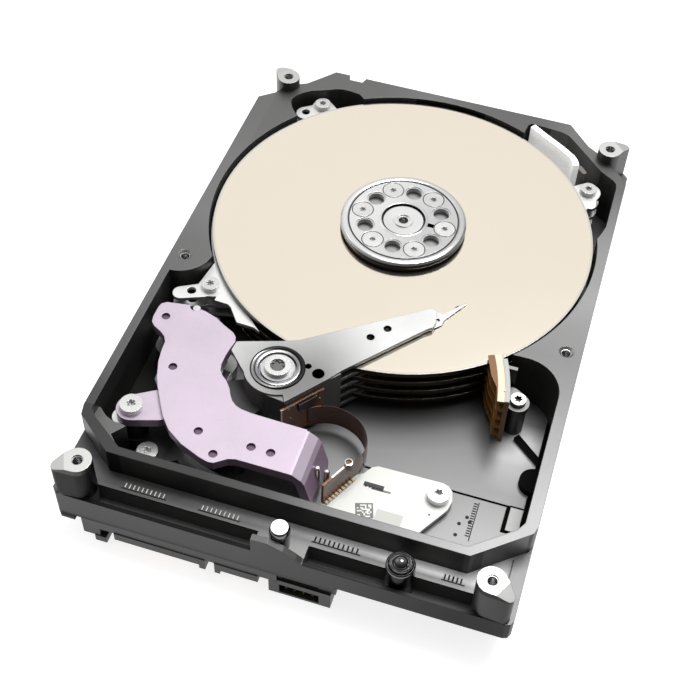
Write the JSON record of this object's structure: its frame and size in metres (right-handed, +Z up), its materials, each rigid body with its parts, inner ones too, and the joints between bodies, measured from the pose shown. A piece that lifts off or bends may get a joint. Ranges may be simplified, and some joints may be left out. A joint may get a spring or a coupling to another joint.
{
  "type": "hard disk drive",
  "caption": "Open hard disk drive: cast base, stacked platters with screwed clamp, swing-arm heads, voice-coil magnets, load ramp, flex circuit and drive board.",
  "frame": {"origin": "centre of the footprint, at the height of the lowest face of the side rails", "axes": "+Z up out of the open side, +Y from the connector end to the plain end, +X to the right when the connector end is nearest"},
  "size_m": [0.1016, 0.147, 0.0261],
  "materials": {
    "cast_black": "satin electro-coat on die-cast aluminium",
    "machined_alu": "machined",
    "arm_alu": "fine satin",
    "damper_alu": "stamped, bright",
    "clamp_metal": "turned, bright",
    "platter_mirror": "polished, warm cream reflection",
    "bright_steel": "polished",
    "screw_steel": "bright, turned",
    "core_steel": "laminated",
    "magnet_dark": "matt",
    "magnet_nickel": "nickel plated",
    "lilac_plate": "satin plating with a lilac tinge",
    "coil_copper": "enamelled copper",
    "rubber_black": "smooth",
    "black_plastic": "moulded",
    "grey_plastic": "moulded",
    "chip_black": "moulded",
    "flex_amber": "polyimide film",
    "ramp_plastic": "moulded, amber",
    "white_bracket": "matt white",
    "filter_felt": "fibrous",
    "pcb_green": "solder mask",
    "foam_dark": "foam",
    "gold": "plated"
  },
  "bodies": {
    "base": {"base_casting": "cast_black", "locating_stud": "machined_alu", "vent_plug": "rubber_black", "breather_filter": "black_plastic", "spindle_shaft": "bright_steel", "motor_bracket": "machined_alu", "motor_screws": "screw_steel", "stator_core": "core_steel", "stator_coils": "coil_copper", "pivot_shaft": "bright_steel", "pivot_screw": "screw_steel", "top_yoke": "lilac_plate", "bottom_yoke": "screw_steel", "top_magnet": "magnet_nickel", "bottom_magnet": "magnet_nickel", "yoke_standoffs": "bright_steel", "yoke_screws": "screw_steel", "crash_stops": "rubber_black", "latch_pin": "bright_steel", "damper_plates": "damper_alu", "damper_spacers": "machined_alu", "damper_screws": "screw_steel", "load_ramp": "ramp_plastic", "ramp_screw": "screw_steel", "recirc_filter": "filter_felt", "filter_holder": "grey_plastic", "flex_bracket": "white_bracket", "flex_stiffener": "flex_amber", "bracket_screw": "screw_steel", "flex_connector": "black_plastic", "flex_cable": "flex_amber", "pcb": "pcb_green", "pcb_insulator": "foam_dark", "pcb_screws": "screw_steel", "controller_chip": "chip_black", "cache_chip": "chip_black", "motor_driver_chip": "chip_black", "sata_housing": "black_plastic", "sata_contacts": "gold", "jumper_housing": "black_plastic", "jumper_pins": "gold"},
    "rotor": {"spindle_hub": "machined_alu", "rotor_magnet": "magnet_dark", "platter_1": "platter_mirror", "platter_2": "platter_mirror", "platter_3": "platter_mirror", "platter_4": "platter_mirror", "disk_spacers": "machined_alu", "disk_clamp": "clamp_metal", "clamp_screws": "screw_steel"},
    "actuator": {"actuator_arms": "arm_alu", "pivot_bearing": "bright_steel", "voice_coil": "coil_copper", "coil_frame": "black_plastic", "head_suspensions": "bright_steel", "slider_heads": "magnet_dark", "arm_flex": "flex_amber", "preamp_chip": "chip_black"},
    "latch": {"latch_lever": "black_plastic"}
  },
  "joints": [
    {"name": "spindle_spin", "type": "hinge", "parent": "base", "child": "rotor", "pos_m": [0, 0.0226, 0.0168], "axis": [0, 0, 1], "continuous": true},
    {"name": "actuator_swing", "type": "hinge", "parent": "base", "child": "actuator", "pos_m": [-0.014, -0.0315, 0.0168], "axis": [0, 0, 1], "range_deg": [-33, 12.5], "deforming": ["flex_cable"]},
    {"name": "latch_swing", "type": "hinge", "parent": "base", "child": "latch", "pos_m": [-0.0386, -0.0192, 0.0162], "axis": [0, 0, 1], "range_deg": [0, 8]}
  ]
}
